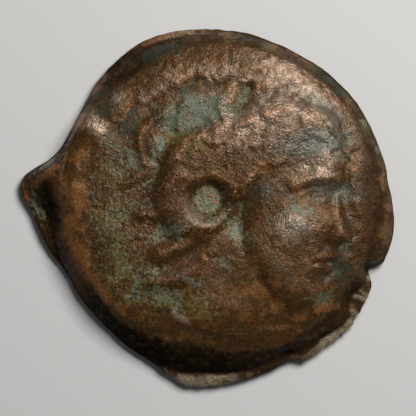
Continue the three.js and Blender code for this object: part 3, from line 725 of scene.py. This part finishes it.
# Darker down the side, as soot and as painted shade
dark_down_side = smooth(-0.3, 0.45, down_side + 0.1 * fade(turn, 268, 30, 20))
soot_and_shade_ring = np.clip(reaches(turn, *SOOT_AND_SHADE_RING), 0, 1)
sided = smooth(-0.12, 0.35, down_side)
pale_lip = np.clip(
    on_ledge * reaches(turn, *PALE_LEDGE)
    + near_edge * reaches(turn, *PALE_EDGE)
    + on_ledge * reaches(turn, *PALE_STREAKS) * (0.6 + 0.6 * streak),
    0,
    1,
)
finishes = {
    "umber": sided * (1 - 0.8 * pale_lip) * (0.9 + 0.15 * speck),
    "rust": np.maximum(patches(x, y, RUST), 0.8 * shoulder_line)
    + patches(turn, from_centre, SIDE_RUST) * mottled
    + (0.3 - 0.1 * on_side) * blotch
    + 0.15 * speck * on_side,
    "russet": patches(x, y, RUSSET) * on_face + 0.1 * blotch,
    # Worn bare bronze, with painted highlight where the forms face the lamp
    "bare_and_highlight": patches(x, y, BARE_AND_HIGHLIGHT) * (0.8 + 0.2 * speck) * (1 - 0.6 * on_side)
    - 0.6 * deep
    # painted highlight on the dimple's lower left wall, which faces the lamp
    + 0.8 * dimple_wall * fade(turn, 225, 60, 60),
    "olive": patches(x, y, OLIVE) * (0.85 + 0.25 * speck)
    + 0.6 * sided * fade(turn, 20, 50, 60)
    + 0.2 * blotch,
    # grey patina and painted sheen
    "slate_and_sheen": patches(x, y, SLATE_AND_SHEEN) * on_face,
    # Soot, with painted shade along the lower left side, which faces away from the lamp
    "soot_and_shade": dark_down_side * soot_and_shade_ring * (1 - pale_lip) * (0.92 + 0.07 * speck + 0.08 * blotch)
    # painted shade on the dimple's upper right wall
    + 0.6 * painted_lee_shade
    + patches(x, y, SOOT)
    # painted shade in the hollows in front of the head
    + 0.4 * deep * patches(x, y, FRONT_OF_HEAD),
    "green": patches(x, y, GREEN) * (0.85 + 0.25 * blotch - 0.3 * crest)
    + patches(turn, from_centre, SIDE_GREEN) * mottled
    + 0.4 * deep
    + 0.75 * dimple_floor
    + 0.3 * dimple_wall,
    "teal": patches(x, y, TEAL) * on_face * (0.8 + 0.3 * blotch + 0.2 * speck)
    + patches(turn, from_centre, SIDE_TEAL) * mottled
    + 0.3 * deep,
    "verdigris": patches(x, y, VERDIGRIS) * on_face * (0.9 + 0.25 * blotch - 0.2 * crest),
    # Copper on worn crests, with painted highlight, strongest on the top of the head, which faces
    # the lamp
    "copper_and_highlight": 0.55 * crest * (0.3 + 0.7 * patches(x, y, TOP_OF_HEAD))
    * (1 - 0.6 * patches(x, y, BEHIND_HEAD + SLATE_AND_SHEEN)),
    "pale": pale_lip * (0.92 + 0.25 * speck) + 0.3 * dimple_floor + patches(x, y, [PALE_SCAR]),
}
# The underside: patina in the recess, bare bronze where the eagle and the rim are rubbed
recessed = smooth(0.08, 0.3, z)
back_finishes = {
    "umber": 0.45 + 0.1 * blotch,
    "rust": 0.45 + 0.25 * blotch,
    "bare_and_highlight": 0.55 * (1 - recessed) * (0.8 + 0.3 * speck) * (from_centre < BACK_DIE_RADIUS),
    "olive": 0.35 + 0.3 * sample(noise(0.6, 36), x, y),
    "green": recessed * (0.42 + 0.28 * sample(noise(0.7, 37), x, y)),
    "soot_and_shade": 0.5 * smooth(0.02, 0.1, z) * (1 - recessed) + 0.3 * smooth(10.5, 12.5, from_centre),
}
for name in finishes:
    finishes[name] = np.where(on_back > 0, back_finishes.get(name, 0), finishes[name])
# How strongly the fine grain shows
finishes["grain"] = np.where(on_face > 0, 0.55 * sample(grain, x, y), 0.7)
for name, value in finishes.items():
    attribute = mesh.attributes.new(name, "FLOAT", "POINT")
    attribute.data.foreach_set("value", np.clip(value, 0, 1).astype(np.float32))

# The patinated bronze
material = bpy.data.materials.new("bronze")
material.use_nodes = True
nodes, links = material.node_tree.nodes, material.node_tree.links
shader = nodes["Principled BSDF"]
place = nodes.new("ShaderNodeTexCoord").outputs["Object"]


def grain_noise(per_mm, detail=4, rough=0.6):
    """Noise with so many lumps to the millimetre."""
    node = nodes.new("ShaderNodeTexNoise")
    node.inputs["Scale"].default_value = per_mm / MM
    node.inputs["Detail"].default_value = detail
    node.inputs["Roughness"].default_value = rough
    links.new(place, node.inputs["Vector"])
    return node.outputs["Fac"]


def spread(value, low, high, to_low=0.0, to_high=1.0):
    node = nodes.new("ShaderNodeMapRange")
    limits = {"From Min": low, "From Max": high, "To Min": to_low, "To Max": to_high}
    for name, number in limits.items():
        node.inputs[name].default_value = number
    links.new(value, node.inputs["Value"])
    return node.outputs["Result"]


def maths(operation, a, b):
    node = nodes.new("ShaderNodeMath")
    node.operation = operation
    for i, value in enumerate((a, b)):
        if isinstance(value, (int, float)):
            node.inputs[i].default_value = value
        else:
            links.new(value, node.inputs[i])
    return node.outputs["Value"]


def finish_mask(name, breakup, raggedness, amount):
    """A finish's strength, with its edge broken up by noise."""
    node = nodes.new("ShaderNodeAttribute")
    node.attribute_name = name
    mixed = maths("ADD", node.outputs["Fac"], spread(breakup, 0.3, 0.7, -raggedness, raggedness))
    return spread(mixed, 0.85 * raggedness, 1 - 0.4 * raggedness, 0, amount)


def layer(under, over, strength):
    """One value laid over another: colours as triples, anything else as a number."""
    node = nodes.new("ShaderNodeMix")
    node.data_type = "RGBA" if isinstance(over, tuple) else "FLOAT"
    links.new(strength, node.inputs[0])
    pairs = zip([s for s in node.inputs if s.enabled][-2:], (under, over))
    for socket, value in pairs:
        if isinstance(value, tuple):
            socket.default_value = (*value, 1)
        elif isinstance(value, (int, float)):
            socket.default_value = value
        else:
            links.new(value, socket)
    return [s for s in node.outputs if s.enabled][0]


# breakup noise, raggedness, strength, colour, metallic, roughness, sheen
COATS = {
    "umber": ("medium", 0.25, 0.93, (0.042, 0.02, 0.0055), 0.0, 0.66, 0.05),
    "rust": ("medium", 0.4, 0.85, (0.26, 0.1, 0.026), 0.3, 0.44, 0.4),
    "russet": ("medium", 0.4, 0.8, (0.085, 0.035, 0.013), 0.2, 0.5, 0.3),
    # worn bare bronze and painted highlight
    "bare_and_highlight": ("medium", 0.2, 0.8, (0.42, 0.295, 0.21), 0.65, 0.37, 0.6),
    "olive": ("medium", 0.45, 0.8, (0.135, 0.088, 0.017), 0.1, 0.5, 0.3),
    # grey patina and painted sheen
    "slate_and_sheen": ("patina", 0.3, 0.75, (0.17, 0.175, 0.14), 0.4, 0.38, 0.6),
    # soot and painted shade
    "soot_and_shade": ("medium", 0.15, 0.95, (0.005, 0.0036, 0.0022), 0.0, 0.8, 0.03),
    "green": ("patina", 0.55, 0.88, (0.15, 0.158, 0.084), 0.1, 0.46, 0.5),
    "teal": ("patina", 0.5, 0.8, (0.025, 0.037, 0.021), 0.1, 0.5, 0.2),
    "verdigris": ("patina", 0.4, 0.85, (0.132, 0.156, 0.103), 0.05, 0.46, 0.5),
    # copper crests and painted highlight
    "copper_and_highlight": ("fine", 0.3, 0.8, (0.55, 0.26, 0.14), 0.8, 0.36, 0.6),
    "pale": ("medium", 0.3, 0.85, (0.3, 0.235, 0.15), 0.1, 0.5, 0.4),
}
noises = {
    "coarse": grain_noise(0.6),
    "medium": grain_noise(1.8, detail=6, rough=0.7),
    "patina": grain_noise(3.4, detail=3, rough=0.6),
    "fine": grain_noise(5.5, detail=2),
}
speckle = spread(noises["fine"], 0.35, 0.65)
colour = layer((0.108, 0.043, 0.009), (0.073, 0.042, 0.011), spread(noises["coarse"], 0.35, 0.65))
colour = layer(colour, (0.185, 0.075, 0.016), spread(noises["medium"], 0.5, 0.7, 0, 0.9))
colour = layer(colour, (0.018, 0.012, 0.006), spread(noises["fine"], 0.48, 0.34, 0, 0.2))
metallic, roughness, sheen = 0.4, 0.41, 0.45
for name, (breakup, raggedness, amount, rgb, metal, rough, gloss) in COATS.items():
    mask = finish_mask(name, noises[breakup], raggedness, amount)
    colour = layer(colour, rgb, mask)
    metallic = layer(metallic, metal, mask)
    roughness = layer(roughness, rough, mask)
    sheen = layer(sheen, gloss, mask)
# A speckle of light and dark over every coat; 6 and 7 are the node's colours A and B
shade = nodes.new("ShaderNodeMix")
shade.data_type = "RGBA"
shade.blend_type = "MULTIPLY"
shade.inputs[0].default_value = 1
links.new(colour, shade.inputs[6])
ramp = spread(speckle, 0, 1, 0.74, 1.28)
tone = nodes.new("ShaderNodeCombineColor")
for i in range(3):
    links.new(ramp, tone.inputs[i])
links.new(tone.outputs[0], shade.inputs[7])
links.new(shade.outputs[2], shader.inputs["Base Color"])
links.new(metallic, shader.inputs["Metallic"])
uneven_gloss = spread(noises["fine"], 0.3, 0.7, -0.05, 0.05)
links.new(maths("ADD", roughness, uneven_gloss), shader.inputs["Roughness"])
links.new(sheen, shader.inputs["Specular IOR Level"])
bump = nodes.new("ShaderNodeBump")
grain_here = nodes.new("ShaderNodeAttribute")
grain_here.attribute_name = "grain"
links.new(grain_here.outputs["Fac"], bump.inputs["Strength"])
bump.inputs["Distance"].default_value = 0.11 * MM
bump_height = maths("ADD", maths("MULTIPLY", noises["patina"], 0.5), noises["fine"])
links.new(bump_height, bump.inputs["Height"])
links.new(bump.outputs["Normal"], shader.inputs["Normal"])
mesh.materials.append(material)

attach(coin, "root")
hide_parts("coin")

# Floor, light and camera
floor_mesh = bpy.data.meshes.new("floor")
half = 0.6
corners = [(-half, -half, 0), (half, -half, 0), (half, half, 0), (-half, half, 0)]
floor_mesh.from_pydata(corners, [], [(0, 1, 2, 3)])
floor = bpy.data.objects.new("floor", floor_mesh)
bpy.context.collection.objects.link(floor)
paper = bpy.data.materials.new("pale_floor")
paper.use_nodes = True
paper_shader = paper.node_tree.nodes["Principled BSDF"]
paper_shader.inputs["Base Color"].default_value = (0.78, 0.77, 0.75, 1)
paper_shader.inputs["Roughness"].default_value = 0.9
floor_mesh.materials.append(paper)


def lamp(name, place, size, watts):
    data = bpy.data.lights.new(name, "AREA")
    data.size = size
    data.energy = watts
    light = bpy.data.objects.new(name, data)
    light.location = place
    light.rotation_euler = (-Vector(place)).to_track_quat("-Z", "Y").to_euler()
    bpy.context.collection.objects.link(light)


lamp("key", (0.06, 0.077, 0.15), 0.08, 0.278)
lamp("fill", (-0.25, -0.1, 0.3), 0.3, 0.031)
world = bpy.data.worlds.new("studio")
world.use_nodes = True
world.node_tree.nodes["Background"].inputs["Color"].default_value = (0.95, 0.97, 1, 1)
world.node_tree.nodes["Background"].inputs["Strength"].default_value = 0.045
bpy.context.scene.world = world
bpy.context.scene.view_settings.view_transform = "Standard"

# The photograph spans 31.2 mm at the rim's level, and the coin lies half a pixel left of its middle
PHOTO_SPAN = 31.2
RIM_LEVEL = 1
PIXEL = PHOTO_SPAN / 416
LENS = 300
SENSOR_WIDTH = 36
camera_data = bpy.data.cameras.new("camera")
camera_data.lens = LENS
camera_data.sensor_width = SENSOR_WIDTH
camera_data.clip_start = 0.01
camera_data.clip_end = 5
camera = bpy.data.objects.new("camera", camera_data)
camera.location = (0.5 * PIXEL * MM, 0, (PHOTO_SPAN * LENS / SENSOR_WIDTH + RIM_LEVEL) * MM)
bpy.context.collection.objects.link(camera)
bpy.context.scene.camera = camera
